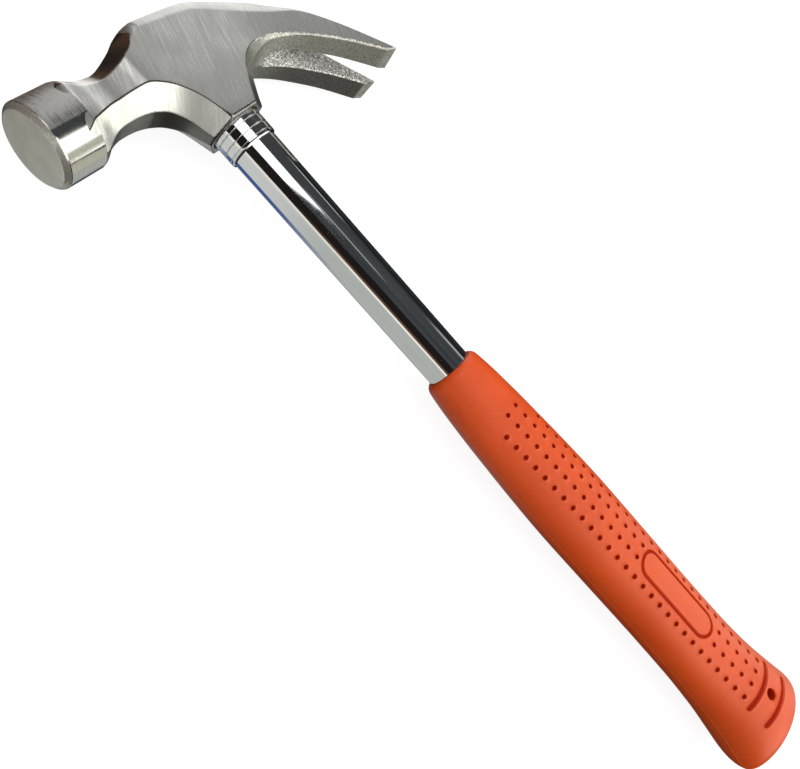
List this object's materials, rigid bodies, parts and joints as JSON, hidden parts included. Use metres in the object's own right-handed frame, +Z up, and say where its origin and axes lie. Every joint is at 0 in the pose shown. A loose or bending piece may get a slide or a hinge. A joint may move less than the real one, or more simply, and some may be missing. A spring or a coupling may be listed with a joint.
{
  "type": "claw hammer",
  "caption": "Claw hammer lying on its side: forged head with round poll and forked claw, grooved collar, chromed tube handle and flared rubber grip with a hanging hole.",
  "frame": {"origin": "centre of the bounding box in plan, at the lowest point of the hammer lying on its side", "axes": "+X from the striking face to the claw tips, +Y along the handle from the butt of the grip to the crown of the head, +Z up, square to the cheek"},
  "size_m": [0.1264, 0.3394, 0.0326],
  "materials": {
    "forged_steel": "brushed cheeks and polished poll",
    "chrome": "bright chrome plate",
    "wedge_steel": "plain steel, driven flush",
    "ash_wood": "unfinished, hidden inside the tube",
    "black_plastic": "moulded, hidden inside the grip",
    "orange_rubber": "satin moulded rubber"
  },
  "bodies": {
    "root": {"head": "forged_steel", "handle_tube": "chrome", "ferrule": "chrome", "eye_wedge": "wedge_steel", "core_dowel": "ash_wood", "tube_end_plug": "black_plastic", "grip": "orange_rubber"}
  },
  "joints": []
}
